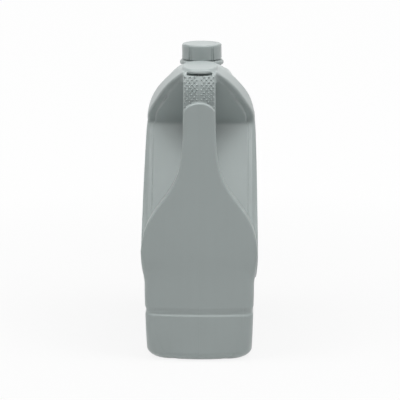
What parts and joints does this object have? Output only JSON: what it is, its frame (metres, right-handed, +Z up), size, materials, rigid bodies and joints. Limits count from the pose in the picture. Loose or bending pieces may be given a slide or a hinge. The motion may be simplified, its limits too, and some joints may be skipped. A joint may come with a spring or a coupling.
{
  "type": "gear oil jug",
  "caption": "Blow-moulded grey oil jug with a hollow bell-shaped handle, a finger opening, raised label panels and a ribbed screw cap over a tamper ring.",
  "frame": {"origin": "middle of the base, on the surface that the jug stands on", "axes": "+Z up, +X across the mould halves, the handle towards -Y"},
  "size_m": [0.1206, 0.188, 0.3148],
  "materials": {
    "jug_plastic": "satin moulded polyethylene",
    "cap_plastic": "satin moulded plastic",
    "liner_foam": "matt foamed sheet"
  },
  "bodies": {
    "jug": {"jug_body": "jug_plastic", "tamper_ring": "cap_plastic"},
    "seal": {"cap_liner": "liner_foam"},
    "screw_cap": {"cap": "cap_plastic"}
  },
  "joints": [
    {"name": "cap_rise", "type": "slide", "parent": "jug", "child": "seal", "axis": [0, 0, 1], "range_m": [0, 0.0095]},
    {"name": "cap_turn", "type": "hinge", "parent": "seal", "child": "screw_cap", "pos_m": [0, 0.028, 0.305], "axis": [0, 0, 1], "range_deg": [0, 810]}
  ],
  "couplings": [
    {"joint": "cap_rise", "follows": "cap_turn", "m_per_rad": 0.00066845}
  ]
}
